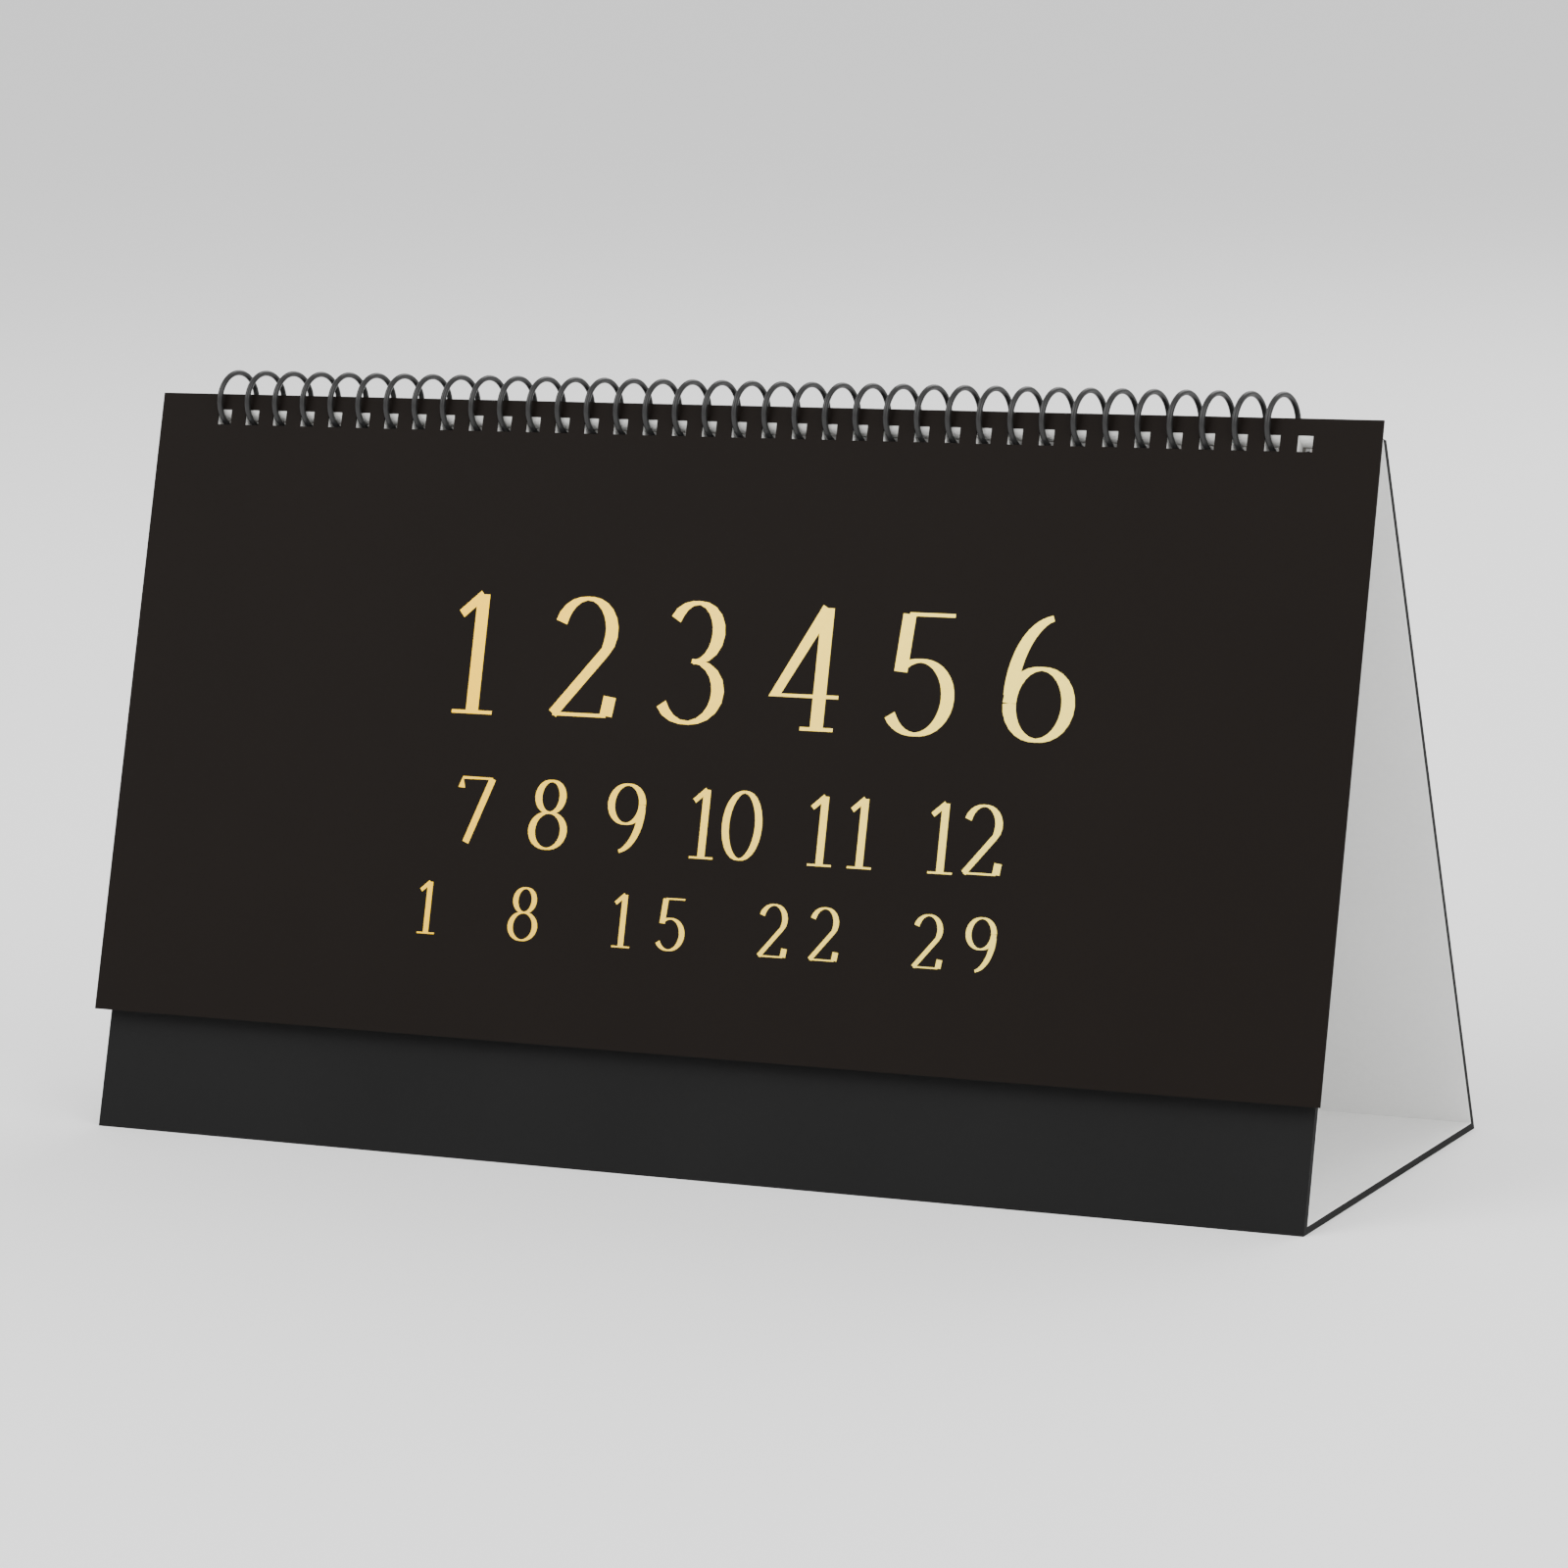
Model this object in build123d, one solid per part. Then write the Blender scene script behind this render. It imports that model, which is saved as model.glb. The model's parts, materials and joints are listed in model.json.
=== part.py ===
from build123d import *
from math import asin, cos, degrees, radians, sin, sqrt, tan
import os

# Flip desk calendar: a tent stand with a spiral-bound stack of sheets on its front face.
# Frame: X along the width, -Y is the front, +Z up, origin on the table under the middle.

# Stand
stand_width = 254.0
stand_depth = 87.0
slope_length = 149.4
board_thickness = 1.2
wrap_thickness = 0.2
liner_thickness = 0.15
crease_gap = 2.5
panel_top_drop = 1.8

# Spiral
coil_pitch = 6.35
hole_count = 37
hole_size = 3.0
wire_diameter = 1.1
coil_radius = 5.6
coil_lean = 8.0
axis_below_apex = 4.45
jog_half_width = 0.9
coil_start_angle = 20.0

# Sheets
month_count = 18
month_width = 254.0
month_height = 121.0
month_thickness = 0.09
month_pitch = 0.15
cover_width = 258.0
cover_height = 123.0
cover_thickness = 0.25
hole_to_top = 4.6
hole_hang = 0.25
sheet_gap = 0.05

# Worked out from the sizes above
lean = asin(stand_depth / 2 / slope_length)
apex_height = slope_length * cos(lean)
axis_height = apex_height - axis_below_apex
face_distance = axis_below_apex * sin(lean)
wall = wrap_thickness + board_thickness + liner_thickness
hole_xs = [(i - (hole_count - 1) / 2) * coil_pitch for i in range(hole_count)]


def inset_triangle(inset):
    """Tent section moved inwards by `inset` all round."""
    half = stand_depth / 2
    foot = half - inset * tan(lean) - inset / cos(lean)
    top = (half - inset / cos(lean)) / tan(lean)
    return [(-foot, inset), (foot, inset), (0, top)]


def prism(points, width):
    """Section in the YZ plane carried along X, centred on X = 0."""
    face = make_face(Plane.YZ * Polyline(*points, close=True))
    return extrude(face, amount=width / 2, both=True)


def panel_plane(side):
    """Plane on the coil axis: local X along X, local Y up the panel, local Z outwards."""
    origin = (0, 0, axis_height)
    outward = (0, side * cos(lean), sin(lean))
    return Plane(origin=origin, x_dir=(-side, 0, 0), z_dir=outward)


def panel_block(side, width, height, low, high, top):
    """Block on a panel between two distances outwards from the coil axis."""
    block = Box(width, height, high - low, align=(Align.CENTER, Align.MAX, Align.MIN))
    return panel_plane(side) * Pos(0, top, low) * block


def crossing(distance):
    """How far down a sheet the wire passes through it."""
    return sqrt(coil_radius ** 2 - distance ** 2)


def hole_row(side, low, high, centre):
    """Square binding holes through one panel or sheet."""
    depth = high - low + 2
    row = [Pos(x, -centre, (low + high) / 2) * Box(hole_size, hole_size, depth) for x in hole_xs]
    return [panel_plane(side) * piece for piece in row]


def panel_holes():
    """Binding holes through the front and back walls."""
    middle = face_distance - wall / 2
    return [
        hole
        for side in (-1, 1)
        for hole in hole_row(side, face_distance - wall, face_distance, crossing(middle))
    ]


def cut_tops(layer, drop):
    """Cuts a tent layer off square, `drop` below the coil axis on both walls."""
    for side in (-1, 1):
        above = panel_block(side, stand_width + 10, 30, -10, 10, 30 - drop)
        layer = layer - above
    return layer


def tent_layer(outer, inner, width, drop):
    """Closed tent wall between two insets, open along the top."""
    layer = prism(inset_triangle(outer), width) - prism(inset_triangle(inner), width)
    return cut_tops(layer, drop)


def make_wrap():
    """Black covering: outer faces, side edges and top edges of the boards."""
    shell = tent_layer(0, wrap_thickness + board_thickness, stand_width, panel_top_drop)
    inside = tent_layer(
        wrap_thickness,
        wrap_thickness + board_thickness,
        stand_width - 2 * wrap_thickness,
        panel_top_drop + wrap_thickness,
    )
    return shell - inside - panel_holes()


def make_liner():
    """White paper lining of the tent's inside."""
    layer = tent_layer(wall - liner_thickness, wall, stand_width, panel_top_drop)
    return layer - panel_holes()


def part_at_creases(layer, name):
    """Front, back and base stretches of a tent layer, meeting face to face at the creases."""
    size = 2 * slope_length
    base_zone = Pos(0, 0, wall - size / 2) * Box(size, size, size)
    walls = layer - base_zone
    front_zone = Pos(0, -size / 2, size / 2) * Box(size, size, size)
    return {
        f"base_{name}": layer & base_zone,
        f"front_{name}": walls & front_zone,
        f"back_{name}": walls - front_zone,
    }


def make_boards():
    """Stiff boards of the front, back and base, parted at the creases."""
    width = stand_width - 2 * wrap_thickness
    outer = wrap_thickness
    inner = wrap_thickness + board_thickness
    ring = tent_layer(outer, inner, width, panel_top_drop + wrap_thickness)
    for side in (-1, 1):
        corner = Pos(0, side * stand_depth / 2, 0) * Box(width + 2, 2 * crease_gap, 4 * crease_gap)
        ring = ring - corner
    ring = ring - panel_holes()
    base, *walls = sorted(ring.solids(), key=lambda piece: piece.center().Z)
    front, back = sorted(walls, key=lambda piece: piece.center().Y)
    return {"front_board": front, "back_board": back, "base_board": base}


def make_sheet(width, height, thickness, distance):
    """One bound sheet on the front, its inner face `distance` out from the coil axis."""
    centre = crossing(distance + thickness / 2) + hole_hang
    top = hole_to_top - centre
    sheet = panel_block(-1, width, height, distance, distance + thickness, top)
    return sheet - hole_row(-1, distance, distance + thickness, centre)


def month_distance(number):
    """Month 1 lies outermost under the cover, the last one on the stand."""
    return face_distance + sheet_gap + (month_count - number) * month_pitch


def coil_point(x, angle):
    """Point on one turn, `angle` from straight down, growing towards the front."""
    y = -coil_radius * sin(radians(angle))
    z = axis_height - coil_radius * cos(radians(angle))
    return Vector(x + y * tan(radians(coil_lean)), y, z)


def coil_path():
    """Lying rings joined by short steps along X inside the tent."""
    end = degrees(asin(jog_half_width / coil_radius))
    edges = []
    for number, x in enumerate(hole_xs[:-1]):
        first = coil_start_angle if number == 0 else end
        last = 360 - end
        points = [coil_point(x, angle) for angle in (first, (first + last) / 2, last)]
        arch = ThreePointArc(*points)
        if edges:
            edges.append(coil_step(edges[-1], arch))
        edges.append(arch)
    tail_points = [coil_point(hole_xs[-1], angle) for angle in (end, end + 12, end + 24)]
    tail = ThreePointArc(*tail_points)
    edges.append(coil_step(edges[-1], tail))
    edges.append(tail)
    return Wire(edges)


def coil_step(before, after):
    """Smooth step from the end of one ring to the start of the next."""
    start = before @ 1
    finish = after @ 0
    reach = finish - start
    early = start + Vector(reach.X * 0.22, reach.Y * 0.47, -0.12)
    late = start + Vector(reach.X * 0.78, reach.Y * 0.53, -0.12)
    return Spline(start, early, late, finish, tangents=(before % 1, after % 0))


def make_coil():
    """One wire wound through every hole."""
    path = coil_path()
    section = Plane(origin=path @ 0, z_dir=path % 0) * Circle(wire_diameter / 2)
    return sweep(section, path=path, transition=Transition.ROUND)


def build_nodes():
    """Every piece by its node name."""
    nodes = {"spiral_coil": make_coil()}
    nodes.update(make_boards())
    nodes.update(part_at_creases(make_wrap(), "wrap"))
    nodes.update(part_at_creases(make_liner(), "liner"))
    for number in range(1, month_count + 1):
        distance = month_distance(number)
        name = f"month_{number:02d}"
        nodes[name] = make_sheet(month_width, month_height, month_thickness, distance)
    cover_distance = month_distance(1) + month_thickness + sheet_gap
    nodes["cover_sheet"] = make_sheet(cover_width, cover_height, cover_thickness, cover_distance)
    return nodes


os.makedirs("parts", exist_ok=True)
for node_name, shape in build_nodes().items():
    export_step(shape, f"parts/{node_name}.step")
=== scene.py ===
"""Looks of a flip desk calendar: finishes, foil numerals, printed month grids, light and camera."""

import json
import logging
from dataclasses import dataclass, field
from enum import Enum
from math import asin, cos, radians, sin

import bpy
import numpy as np
from mathutils import Matrix, Vector

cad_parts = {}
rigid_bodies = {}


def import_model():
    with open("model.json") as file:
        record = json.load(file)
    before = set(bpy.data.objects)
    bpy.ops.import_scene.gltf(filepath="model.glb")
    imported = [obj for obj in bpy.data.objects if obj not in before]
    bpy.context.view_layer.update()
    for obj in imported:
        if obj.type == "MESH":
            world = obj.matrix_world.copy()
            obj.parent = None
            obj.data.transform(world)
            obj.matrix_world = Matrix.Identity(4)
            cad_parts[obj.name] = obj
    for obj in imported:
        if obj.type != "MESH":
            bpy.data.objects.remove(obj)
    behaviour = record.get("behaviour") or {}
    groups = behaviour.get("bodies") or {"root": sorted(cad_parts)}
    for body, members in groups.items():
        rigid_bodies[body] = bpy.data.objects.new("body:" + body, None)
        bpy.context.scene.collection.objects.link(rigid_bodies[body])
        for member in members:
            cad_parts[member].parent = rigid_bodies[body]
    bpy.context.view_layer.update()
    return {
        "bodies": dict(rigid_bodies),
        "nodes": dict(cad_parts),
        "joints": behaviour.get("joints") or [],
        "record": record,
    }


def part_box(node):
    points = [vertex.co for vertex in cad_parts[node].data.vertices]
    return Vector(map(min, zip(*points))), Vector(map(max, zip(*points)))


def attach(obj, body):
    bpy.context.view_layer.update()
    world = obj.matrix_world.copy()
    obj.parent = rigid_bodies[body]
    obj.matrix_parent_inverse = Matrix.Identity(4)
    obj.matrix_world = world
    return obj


LOG = logging.getLogger("desk_calendar")
MM = 0.001
MONTHS = 18
STAND_DEPTH = 87.0 * MM
SLOPE_LENGTH = 149.4 * MM


class Grain(Enum):
    """How a surface's fine relief is laid."""

    SMOOTH = "smooth"
    FIBRE = "fibre"
    BRUSHED = "brushed"


class Signal:
    """A shader socket that takes part in Python arithmetic."""

    def __init__(self, tree: bpy.types.NodeTree, socket: bpy.types.NodeSocket) -> None:
        """Wraps one output socket of a node tree."""
        self.tree = tree
        self.socket = socket

    def _math(self, operation: str, first: object, second: object) -> "Signal":
        """Adds one Math node.

        Args:
            operation: The Math node's operation.
            first: A Signal or a number.
            second: A Signal or a number.

        Returns:
            The node's result.
        """
        node = self.tree.nodes.new("ShaderNodeMath")
        node.operation = operation
        for place, value in enumerate((first, second)):
            if isinstance(value, Signal):
                self.tree.links.new(value.socket, node.inputs[place])
            else:
                node.inputs[place].default_value = value
        return Signal(self.tree, node.outputs[0])

    def __add__(self, other: object) -> "Signal":
        """Sum."""
        return self._math("ADD", self, other)

    def __sub__(self, other: object) -> "Signal":
        """Difference."""
        return self._math("SUBTRACT", self, other)

    def __rsub__(self, other: object) -> "Signal":
        """Difference from a plain number."""
        return self._math("SUBTRACT", other, self)

    def __mul__(self, other: object) -> "Signal":
        """Product."""
        return self._math("MULTIPLY", self, other)

    __radd__ = __add__
    __rmul__ = __mul__


@dataclass(frozen=True)
class Finish:
    """One surface finish: colour range, gloss and fine relief."""

    name: str
    dark: tuple[float, float, float]
    light: tuple[float, float, float]
    roughness: float
    metallic: float = 0.0
    specular: float = 0.3
    grain: Grain = Grain.FIBRE
    grain_scale: float = 900.0
    relief: float = 0.15
    # X span of a painted reflection gradient, from the dark end to the light end; None leaves the colour
    # to the noise.
    across: tuple[float, float] | None = None

    def build(self) -> bpy.types.Material:
        """Makes the material.

        Colour runs from dark to light with cloudy noise, or along X between two places as a painted
        reflection: a gradient that stands in for light falling across the surface.
        Roughness follows the same noise, and the bump follows fine grain.

        Returns:
            The material.
        """
        material = bpy.data.materials.new(self.name)
        material.use_nodes = True
        tree = material.node_tree
        shader = tree.nodes["Principled BSDF"]
        place = self._node(tree, "ShaderNodeTexCoord", {}, {}).outputs["Object"]
        stretch = (1.0, 0.06, 1.0) if self.grain is Grain.BRUSHED else (1.0, 1.0, 1.0)
        mapped = self._node(tree, "ShaderNodeMapping", {}, {"Vector": place, "Scale": stretch})
        fine = self._noise(tree, mapped.outputs[0], self.grain_scale)
        cloud = self._noise(tree, place, 22.0)
        factor = cloud * 0.6 + fine * 0.4
        # Painted reflection: along X the colour runs from dark to light, standing in for light falling
        # across the surface.
        if self.across is not None:
            split = self._node(tree, "ShaderNodeSeparateXYZ", {}, {0: place})
            low, high = self.across
            run = (Signal(tree, split.outputs[0]) - low) * (1 / (high - low))
            factor = run + (cloud - 0.5) * 0.12
        ramp = self._node(tree, "ShaderNodeValToRGB", {}, {0: factor.socket})
        ramp.color_ramp.elements[0].color = (*self.dark, 1)
        ramp.color_ramp.elements[1].color = (*self.light, 1)
        tree.links.new(ramp.outputs[0], shader.inputs["Base Color"])
        gloss = self.roughness + (fine - 0.5) * 0.12
        tree.links.new(gloss.socket, shader.inputs["Roughness"])
        shader.inputs["Metallic"].default_value = self.metallic
        shader.inputs["Specular IOR Level"].default_value = self.specular
        if self.grain is not Grain.SMOOTH:
            sizes = {"Strength": self.relief, "Distance": 0.0001, "Height": fine.socket}
            bump = self._node(tree, "ShaderNodeBump", {}, sizes)
            tree.links.new(bump.outputs[0], shader.inputs["Normal"])
        return material

    def _noise(self, tree: bpy.types.NodeTree, place: object, scale: float) -> Signal:
        """Fractal noise at a scale in turns per metre."""
        sockets = {"Vector": place, "Scale": scale, "Detail": 4.0}
        node = self._node(tree, "ShaderNodeTexNoise", {}, sockets)
        return Signal(tree, node.outputs[0])

    @staticmethod
    def _node(tree: bpy.types.NodeTree, kind: str, settings: dict, sockets: dict) -> bpy.types.Node:
        """Adds a node.

        Args:
            tree: Where it goes.
            kind: The node's type.
            settings: Its own settings, set first.
            sockets: Values or links of its input sockets.

        Returns:
            The node.
        """
        node = tree.nodes.new(kind)
        for key, value in settings.items():
            setattr(node, key, value)
        for key, value in sockets.items():
            if isinstance(value, bpy.types.NodeSocket):
                tree.links.new(value, node.inputs[key])
            else:
                node.inputs[key].default_value = value
        return node


BLACK_WRAP = Finish(
    "black_wrap",
    (0.006, 0.006, 0.006),
    (0.011, 0.011, 0.011),
    0.7,
    specular=0.1,
    relief=0.3,
)
WHITE_LINER = Finish("white_liner", (0.76, 0.76, 0.75), (0.9, 0.9, 0.89), 0.75, relief=0.12)
GREYBOARD = Finish("greyboard", (0.36, 0.34, 0.31), (0.5, 0.48, 0.45), 0.9, relief=0.5)
WIRE = Finish("black_wire", (0.012, 0.012, 0.012), (0.02, 0.02, 0.02), 0.3, grain=Grain.SMOOTH)
COVER = Finish(
    "cover_black",
    (0.0055, 0.0038, 0.003),
    (0.0085, 0.006, 0.0046),
    0.65,
    specular=0.08,
    relief=0.25,
)
PAPER = Finish("month_paper", (0.8, 0.8, 0.78), (0.9, 0.9, 0.88), 0.8, relief=0.1)
INK = Finish("print_ink", (0.03, 0.03, 0.035), (0.06, 0.06, 0.065), 0.7, grain=Grain.SMOOTH)
FOIL = Finish(
    "gold_foil",
    (0.95, 0.55, 0.01),
    (0.95, 0.74, 0.14),
    0.38,
    metallic=1.0,
    grain=Grain.BRUSHED,
    relief=0.08,
    # Painted reflection: the foil runs from deep to pale gold from left to right across the cover.
    across=(-0.07, 0.06),
)


def arc(centre: tuple, radii: tuple, first: float, last: float, steps: int) -> np.ndarray:
    """Elliptical arc: centre plus radii times (cosine, sine) of an evenly growing angle.

    Args:
        centre: Its middle in the digit's box, one wide and one high.
        radii: Half width and half height.
        first: Start angle in degrees, counted anticlockwise from +X.
        last: End angle in degrees.
        steps: How many stretches.

    Returns:
        Points as an array of steps + 1 rows.
    """
    angle = np.radians(np.linspace(first, last, steps + 1))
    return np.stack([centre[0] + radii[0] * np.cos(angle), centre[1] + radii[1] * np.sin(angle)], 1)


def line(*points: tuple) -> np.ndarray:
    """Straight runs through the points."""
    return np.array(points, float)


def digit_strokes(digit: str, steps: int) -> list[np.ndarray]:
    """Centre lines of one numeral in a box that is 1 high and about 0.6 wide.

    Args:
        digit: One of 0 to 9.
        steps: Stretches in a half turn.

    Returns:
        One array of points per stroke.
    """
    full = 2 * steps
    shapes = {
        "0": lambda: [arc((0.3, 0.5), (0.25, 0.46), 90, 450, full)],
        "1": lambda: [
            line((0.32, 0.04), (0.32, 0.96)),
            line((0.14, 0.8), (0.32, 0.96)),
            line((0.14, 0.03), (0.5, 0.03)),
        ],
        "2": lambda: [
            np.vstack([arc((0.29, 0.7), (0.23, 0.26), 165, -35, steps), line((0.07, 0.05))]),
            line((0.07, 0.05), (0.54, 0.05)),
            line((0.54, 0.05), (0.56, 0.2)),
        ],
        "3": lambda: [
            arc((0.28, 0.73), (0.2, 0.23), 155, -90, steps),
            arc((0.27, 0.27), (0.25, 0.24), 90, -155, steps),
        ],
        "4": lambda: [
            line((0.42, 0.04), (0.42, 0.96)),
            line((0.42, 0.96), (0.04, 0.28), (0.58, 0.28)),
            line((0.28, 0.03), (0.56, 0.03)),
        ],
        "5": lambda: [
            line((0.52, 0.94), (0.14, 0.94)),
            line((0.14, 0.94), (0.11, 0.5)),
            arc((0.27, 0.31), (0.25, 0.28), 130, -150, full),
        ],
        "6": lambda: [
            arc((0.42, 0.36), (0.36, 0.6), 100, 180, steps),
            arc((0.3, 0.3), (0.24, 0.27), 180, 540, full),
        ],
        "7": lambda: [line((0.07, 0.8), (0.08, 0.94), (0.55, 0.94)), line((0.55, 0.94), (0.22, 0.04))],
        "8": lambda: [
            arc((0.3, 0.74), (0.19, 0.22), 90, 450, full),
            arc((0.3, 0.27), (0.25, 0.25), 90, 450, full),
        ],
        "9": lambda: [
            arc((0.18, 0.64), (0.36, 0.6), -80, 0, steps),
            arc((0.3, 0.7), (0.24, 0.27), 0, 360, full),
        ],
    }
    return shapes[digit]()


@dataclass
class Pen:
    """Broad pen that makes upright strokes thick and level strokes thin, as a share of the height."""

    thick: float = 0.11
    thin: float = 0.028
    steps: int = 14


@dataclass
class Relief:
    """Collects closed flat ribbons on a sheet's face and turns them into one mesh."""

    origin: Vector
    right: Vector
    up: Vector
    out: Vector
    height: float
    vertices: list = field(default_factory=list)
    faces: list = field(default_factory=list)
    count: int = 0

    def ribbon(self, points: np.ndarray, half: np.ndarray, lift: float = 0.0) -> None:
        """Adds a ribbon: each point moved half a width to both sides, with a top and a bottom face.

        Args:
            points: Centre line in metres on the face.
            half: Half width at each point.
            lift: Extra height, which keeps crossing ribbons from sharing a face.
        """
        run = np.gradient(points, axis=0)
        run /= np.maximum(np.linalg.norm(run, axis=1), 1e-12)[:, None]
        side = np.stack([-run[:, 1], run[:, 0]], 1) * half[:, None]
        corners = [(points + side, 0.0), (points - side, 0.0)]
        corners += [(points - side, self.height + lift), (points + side, self.height + lift)]
        rings = np.stack([self._place(flat, rise) for flat, rise in corners], 1)
        number = len(points)
        start = self.count + 4 * np.arange(number - 1)[:, None]
        around = np.arange(4)[None, :]
        after = (around + 1) % 4
        quads = np.stack([start + around, start + 4 + around, start + 4 + after, start + after], 2)
        last = self.count + 4 * (number - 1)
        ends = np.array([[0, 1, 2, 3]]) + self.count, np.array([[3, 2, 1, 0]]) + last
        self.vertices.append(rings.reshape(-1, 3))
        self.faces.append(np.vstack([quads.reshape(-1, 4), *ends]))
        self.count += 4 * number

    def _place(self, flat: np.ndarray, rise: float) -> np.ndarray:
        """Face coordinates to the frame."""
        base = np.array(self.origin) + rise * np.array(self.out)
        return base + flat[:, :1] * np.array(self.right) + flat[:, 1:] * np.array(self.up)

    def numeral(self, text: str, left: float, foot: float, height: float, width: float, pen: Pen) -> None:
        """Writes digits side by side; a space leaves a gap.

        Args:
            text: Digits and spaces.
            left: Where the row starts.
            foot: Its baseline.
            height: Digit height.
            width: Width of the whole row.
            pen: Stroke weights.
        """
        pitch = width / max(len(text) - 0.4, 0.6)
        for place, digit in enumerate(text):
            if digit == " ":
                continue
            for order, stroke in enumerate(digit_strokes(digit, pen.steps)):
                points = stroke * height + np.array([left + place * pitch, foot])
                run = np.abs(np.gradient(stroke, axis=0))
                upright = run[:, 1] / np.maximum(np.hypot(run[:, 0], run[:, 1]), 1e-9)
                half = (pen.thin + (pen.thick - pen.thin) * upright**1.5) * height / 2
                self.ribbon(points, half, lift=order * self.height * 0.15)

    def build(self, name: str, finish: bpy.types.Material) -> bpy.types.Object:
        """Makes the mesh object.

        Args:
            name: The piece's name.
            finish: Its material.

        Returns:
            The object, in the scene.
        """
        mesh = bpy.data.meshes.new(name)
        mesh.from_pydata(np.vstack(self.vertices).tolist(), [], np.vstack(self.faces).tolist())
        mesh.materials.append(finish)
        mesh.update()
        piece = bpy.data.objects.new(name, mesh)
        bpy.context.scene.collection.objects.link(piece)
        return piece


@dataclass
class SheetFace:
    """Outer face of one hanging sheet, found from its CAD node."""

    node: str

    def relief(self, height: float) -> tuple[Relief, float, float]:
        """Finds the face from the node's box.

        A leaning plate of thickness t and length l is l sin a + t cos a deep and l cos a + t sin a
        high, which gives t and l. The outer face's top edge is t cos a in front of the box's back.

        Args:
            height: Thickness of what is put on it.

        Returns:
            An empty Relief with its zero at the sheet's top middle, the sheet's width and its length.
        """
        lean = asin(STAND_DEPTH / 2 / SLOPE_LENGTH)
        low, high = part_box(self.node)
        up = Vector((0, sin(lean), cos(lean)))
        out = Vector((0, -cos(lean), sin(lean)))
        span = high - low
        thick = (span.y * cos(lean) - span.z * sin(lean)) / (cos(lean) ** 2 - sin(lean) ** 2)
        length = (span.z - thick * sin(lean)) / cos(lean)
        top = Vector(((low.x + high.x) / 2, high.y - thick * cos(lean), high.z))
        return Relief(top, Vector((1, 0, 0)), up, out, height), span.x, length


@dataclass
class Stand:
    """Tent stand with its spiral."""

    panels: tuple[str, ...] = ("front", "back", "base")

    def dress(self) -> None:
        """Gives the boards, coverings, linings and wire their finishes."""
        layers = {"board": GREYBOARD.build(), "wrap": BLACK_WRAP.build(), "liner": WHITE_LINER.build()}
        for panel in self.panels:
            for layer, material in layers.items():
                dress_node(f"{panel}_{layer}", material)
        dress_node("spiral_coil", WIRE.build())


@dataclass
class Cover:
    """Black cover with three rows of plain gold numerals.

    Each row is its text, left end, baseline below the top edge, digit height and width, in mm.
    """

    rows: tuple[tuple[str, float, float, float, float], ...] = (
        ("1 2 3 4 5 6", -59.0, 61.3, 24.5, 126.0),
        ("7 8 9 10 11 12", -52.5, 86.2, 13.8, 112.0),
        ("1 8 15 22 29", -59.5, 103.8, 10.6, 123.0),
    )
    foil_height: float = 0.02 * MM

    def dress(self) -> None:
        """Finishes the cover and lays the foil on it."""
        dress_node("cover_sheet", COVER.build())
        relief, _, _ = SheetFace("cover_sheet").relief(self.foil_height)
        for text, left, baseline, height, width in self.rows:
            relief.numeral(text, left * MM, -baseline * MM, height * MM, width * MM, Pen())
        foil = relief.build("foil_numerals", FOIL.build())
        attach(foil, "cover")
        LOG.info("foil numerals laid")


@dataclass
class MonthSheets:
    """Month sheets, each printed with a ruled grid of day numbers."""

    columns: int = 7
    rows: int = 5
    margin: float = 12 * MM
    head: float = 24 * MM
    rule: float = 0.25 * MM
    print_height: float = 0.008 * MM

    def dress(self) -> None:
        """Finishes every sheet and prints it."""
        paper, ink = PAPER.build(), INK.build()
        for number in range(1, MONTHS + 1):
            node = f"month_{number:02d}"
            dress_node(node, paper)
            piece = self._print(node, number, ink)
            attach(piece, node)

    def _print(self, node: str, number: int, ink: bpy.types.Material) -> bpy.types.Object:
        """Grid lines and numbers of one month.

        Args:
            node: The sheet.
            number: Its place in the stack, which gives its heading and first weekday.
            ink: The print's material.

        Returns:
            The printed piece.
        """
        relief, width, length = SheetFace(node).relief(self.print_height)
        left, right = -width / 2 + self.margin, width / 2 - self.margin
        top, foot = -self.head, -length + self.margin / 2
        step_x, step_y = (right - left) / self.columns, (top - foot) / (self.rows + 1)
        half = np.full(2, self.rule / 2)
        for row in range(self.rows + 2):
            level = top - row * step_y
            relief.ribbon(line((left, level), (right, level)), half)
        for column in range(self.columns + 1):
            place = left + column * step_x
            relief.ribbon(line((place, top), (place, foot)), half, lift=self.print_height * 0.3)
        pen = Pen(thick=0.12, thin=0.06, steps=5)
        heading = str((number - 1) % 12 + 1)
        relief.numeral(heading, left, -self.head + 3 * MM, 9 * MM, 5.5 * MM * len(heading), pen)
        first = (number * 3) % self.columns
        for day in range(1, 32):
            row, column = divmod(day - 1 + first, self.columns)
            text = str(day)
            start = left + column * step_x + 2 * MM
            baseline = top - row * step_y - 6.5 * MM
            relief.numeral(text, start, baseline, 4.5 * MM, 2.9 * MM * len(text), pen)
        return relief.build(f"{node}_print", ink)


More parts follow.
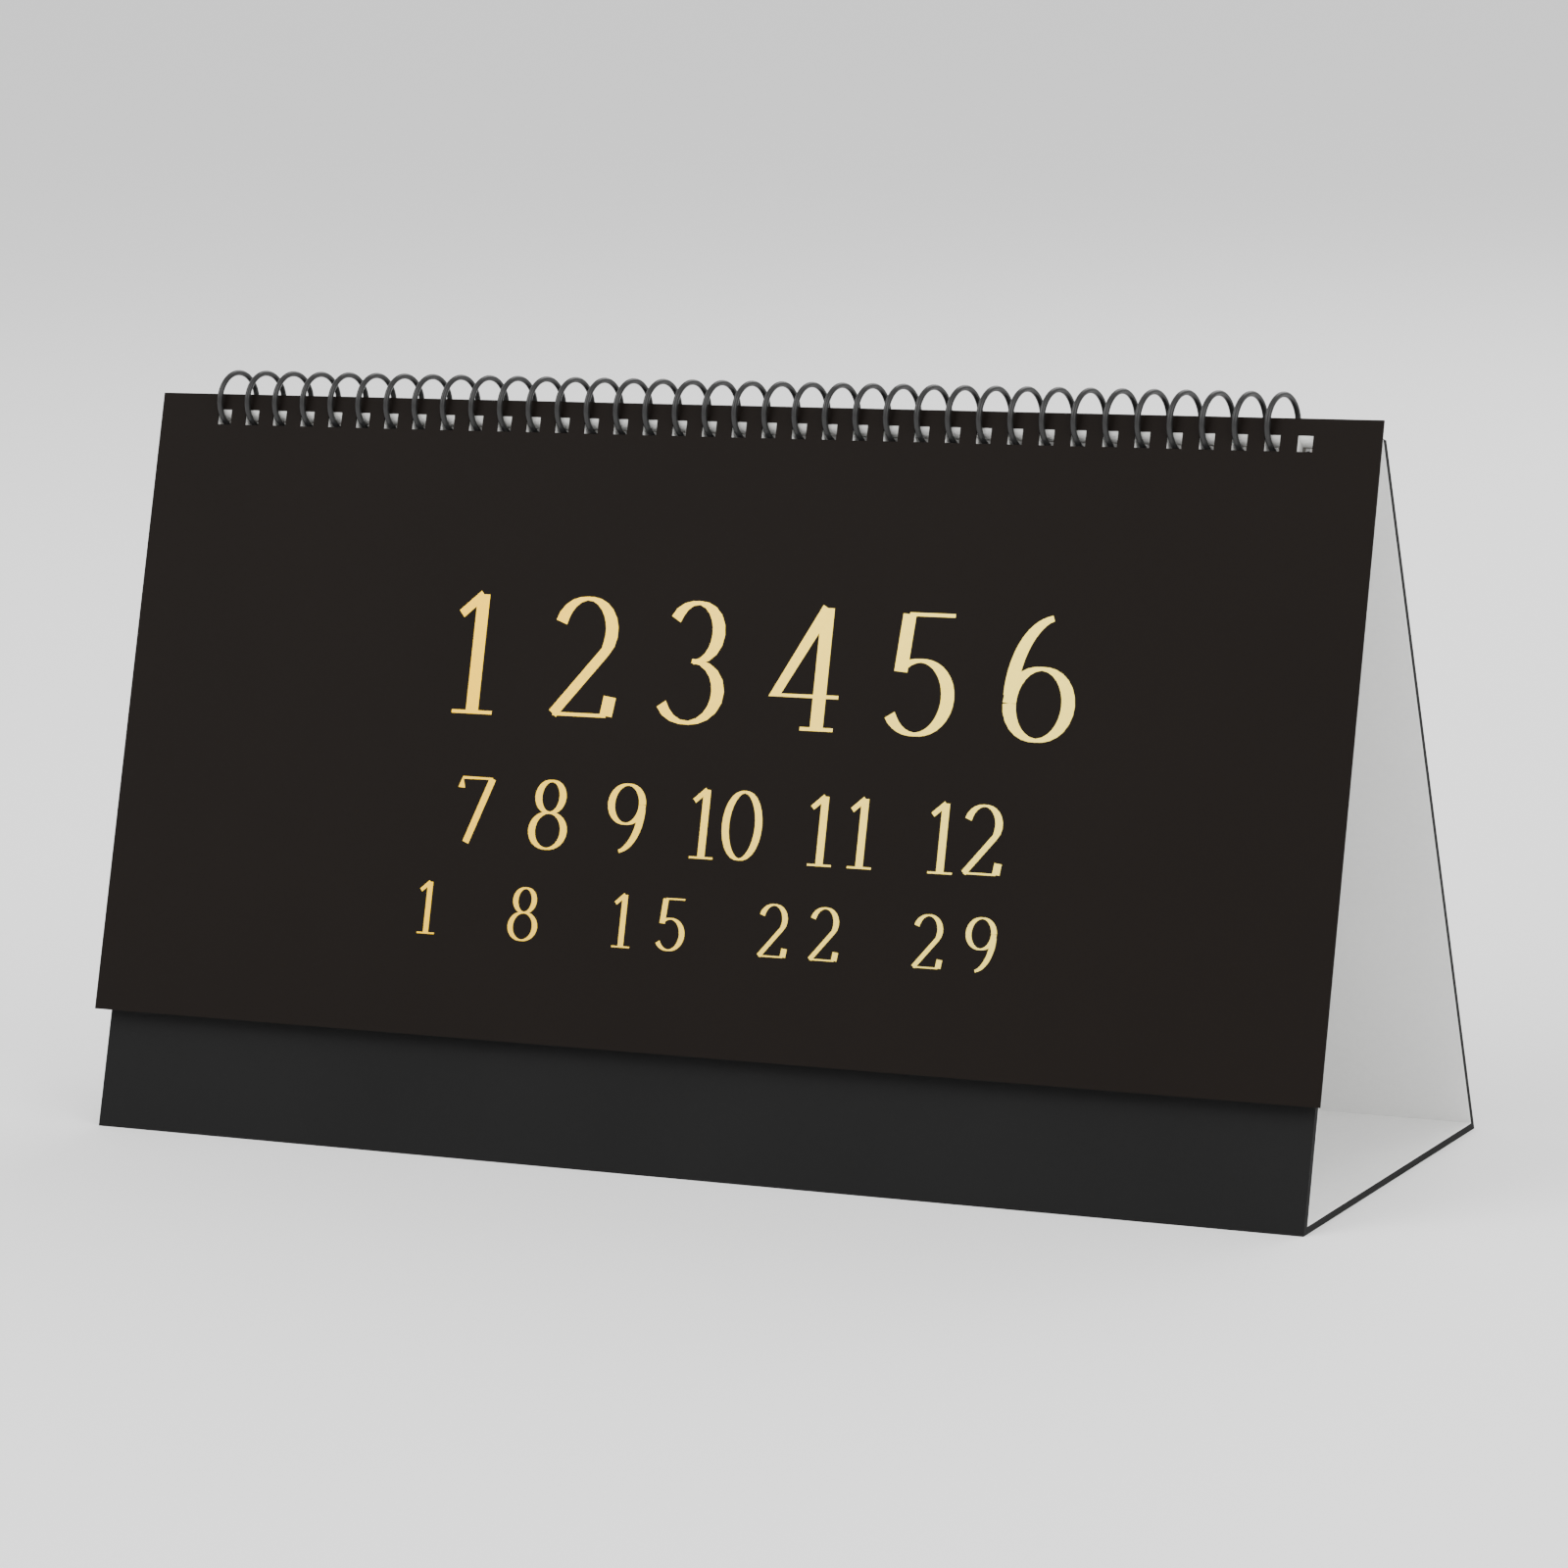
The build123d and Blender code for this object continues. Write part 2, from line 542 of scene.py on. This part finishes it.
@dataclass
class Studio:
    """Floor, lights and camera; each softbox is its place, power in watts and size in metres."""

    azimuth: float = 27.26
    elevation: float = 9.89
    roll: float = -1.83
    distance: float = 1.08444
    slide: tuple[float, float] = (3.95 * MM, -7.74 * MM)
    target: tuple[float, float, float] = (0.0, 0.0, 0.075)
    lens: float = 130.43
    softboxes: tuple[tuple[tuple[float, float, float], float, float], ...] = (
        ((-0.9, -1.1, 1.3), 22, 1.2),
        ((1.3, -0.6, 0.9), 13, 1.0),
        ((0.2, 1.2, 1.2), 14, 1.2),
    )

    def build(self) -> None:
        """Makes the floor, three soft lights, an even sky and the camera."""
        bpy.ops.mesh.primitive_plane_add(size=80)
        floor = bpy.context.object
        floor.name = "floor"
        pale = Finish("pale_floor", (0.93, 0.93, 0.93), (0.95, 0.95, 0.95), 0.9, grain=Grain.SMOOTH)
        floor.data.materials.append(pale.build())
        for place, power, size in self.softboxes:
            light = bpy.data.lights.new("softbox", "AREA")
            light.energy = power
            light.size = size
            lamp = bpy.data.objects.new("softbox", light)
            lamp.location = place
            aim = Vector((0, 0, 0.06)) - lamp.location
            lamp.rotation_euler = aim.to_track_quat("-Z", "Y").to_euler()
            bpy.context.scene.collection.objects.link(lamp)
        world = bpy.data.worlds.new("studio")
        world.use_nodes = True
        world.node_tree.nodes["Background"].inputs[0].default_value = (1, 1, 1, 1)
        world.node_tree.nodes["Background"].inputs[1].default_value = 1.15
        bpy.context.scene.world = world
        self._camera()

    def _camera(self) -> None:
        """Camera on a sphere round the target, rolled about its view line."""
        a, e, r = radians(self.azimuth), radians(self.elevation), radians(self.roll)
        back = Vector((sin(a) * cos(e), -cos(a) * cos(e), sin(e)))
        right = Vector((cos(a), sin(a), 0))
        up = back.cross(right)
        centre = Vector(self.target) + back * self.distance
        centre += right * self.slide[0] + up * self.slide[1]
        across = right * cos(r) + up * sin(r)
        upward = up * cos(r) - right * sin(r)
        camera = bpy.data.cameras.new("camera")
        camera.lens = self.lens
        camera.sensor_width = 36
        eye = bpy.data.objects.new("camera", camera)
        turn = Matrix((across, upward, back)).transposed().to_4x4()
        eye.matrix_world = Matrix.Translation(centre) @ turn
        bpy.context.scene.collection.objects.link(eye)
        bpy.context.scene.camera = eye


FRAME: dict = {}


def dress_node(node: str, material: bpy.types.Material) -> None:
    """Puts one finish on a CAD node."""
    piece = FRAME["nodes"][node]
    piece.data.materials.clear()
    piece.data.materials.append(material)
    LOG.info("dressed %s", node)


def main() -> None:
    """Loads the frame and builds everything round it."""
    logging.basicConfig(level=logging.INFO)
    FRAME.update(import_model())
    Studio().build()
    for group in (Stand(), Cover(), MonthSheets()):
        group.dress()


if __name__ == "__main__":
    main()
